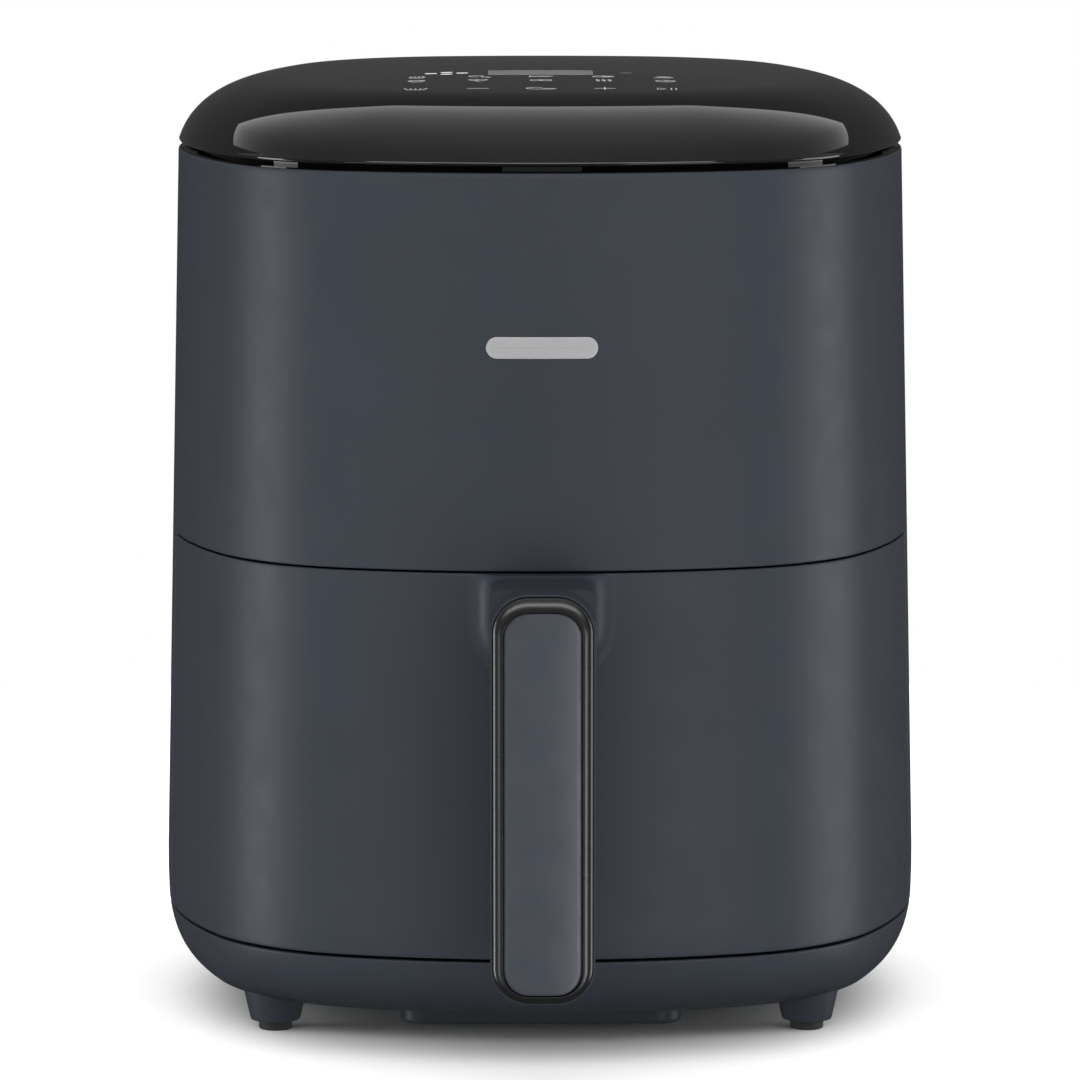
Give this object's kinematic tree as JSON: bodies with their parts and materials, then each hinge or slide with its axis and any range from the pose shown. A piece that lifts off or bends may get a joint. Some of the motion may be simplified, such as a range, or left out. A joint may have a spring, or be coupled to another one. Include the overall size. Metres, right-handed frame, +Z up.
{
  "type": "air fryer",
  "caption": "Upright rounded air fryer with a glossy domed touch lid, a pull-out drawer with a vertical bridge handle, a lift-out crisper plate and four short feet.",
  "frame": {"origin": "centre of the footprint of the whole object, handle included, on the surface it stands on", "axes": "+Z up, the drawer and handle face -Y, +X to the right seen from the front"},
  "size_m": [0.267, 0.3304, 0.3336],
  "materials": {
    "body_plastic": "fine matte moulded plastic, dark slate",
    "inner_plastic": "matte black moulded plastic",
    "black_rubber": "matte",
    "steel_hardware": "zinc plated",
    "badge_metal": "satin",
    "gloss_black": "high gloss",
    "display_glass": "smoked, high gloss",
    "white_lens": "translucent white",
    "circuit_board": "solder mask",
    "handle_inlay": "satin slate",
    "nonstick": "non-stick coating, slight sheen",
    "sheet_steel": "rolled sheet",
    "element_steel": "oxidised tube",
    "fan_aluminium": "pressed",
    "lamination_steel": "varnished laminations",
    "coil_tape": "polyester tape",
    "bearing_bronze": "sintered bronze"
  },
  "bodies": {
    "housing": {"outer_housing": "body_plastic", "rear_grille": "body_plastic", "cord_inlet": "black_rubber", "base_shell": "body_plastic", "base_cover": "body_plastic", "foot_pads": "black_rubber", "base_screws": "steel_hardware", "bay_fascia": "inner_plastic", "badge": "badge_metal", "top_lid": "gloss_black", "display_window": "display_glass", "status_lamps": "white_lens", "lid_collar": "gloss_black", "collar_tab": "gloss_black", "control_tray": "inner_plastic", "touch_board": "circuit_board", "display_module": "inner_plastic", "touch_springs": "steel_hardware", "inner_chamber": "sheet_steel", "drawer_guides": "sheet_steel", "exhaust_duct": "inner_plastic", "heat_shield": "sheet_steel", "heating_element": "element_steel", "element_bracket": "sheet_steel", "element_guard": "sheet_steel", "motor_stator": "lamination_steel", "motor_coil": "coil_tape", "motor_bracket": "sheet_steel", "motor_end_caps": "fan_aluminium", "motor_bearings": "bearing_bronze", "board_posts": "inner_plastic", "power_board": "circuit_board", "power_parts": "inner_plastic", "display_ribbon": "inner_plastic", "ribbon_sockets": "white_lens", "terminal_block": "white_lens", "thermal_fuse": "sheet_steel", "temperature_probe": "steel_hardware", "drawer_switch": "inner_plastic"},
    "drawer": {"drawer_front": "body_plastic", "handle_shell": "body_plastic", "handle_frame": "gloss_black", "handle_inlay": "handle_inlay", "handle_screws": "steel_hardware", "drawer_frame": "inner_plastic", "drawer_pan": "nonstick", "pan_bracket": "inner_plastic", "pan_screws": "steel_hardware"},
    "plate": {"crisper_plate": "nonstick", "plate_bumpers": "black_rubber"},
    "fan_rotor": {"motor_shaft": "steel_hardware", "hot_air_fan": "fan_aluminium", "cooling_fan": "inner_plastic", "fan_nut": "steel_hardware", "rotor_core": "lamination_steel"},
    "plunger": {"switch_plunger": "white_lens"}
  },
  "joints": [
    {"name": "drawer_slide", "type": "slide", "parent": "housing", "child": "drawer", "axis": [0, -1, 0], "range_m": [0, 0.26]},
    {"name": "plate_lift", "type": "slide", "parent": "drawer", "child": "plate", "axis": [0, 0, 1], "range_m": [0, 0.1]},
    {"name": "fan_spin", "type": "hinge", "parent": "housing", "child": "fan_rotor", "pos_m": [0, 0.035, 0.2], "axis": [0, 0, 1], "continuous": true},
    {"name": "switch_press", "type": "slide", "parent": "housing", "child": "plunger", "axis": [0, -1, 0], "range_m": [0, 0.004]}
  ],
  "couplings": [
    {"joint": "switch_press", "follows": "drawer_slide", "ratio": 0.015385}
  ]
}
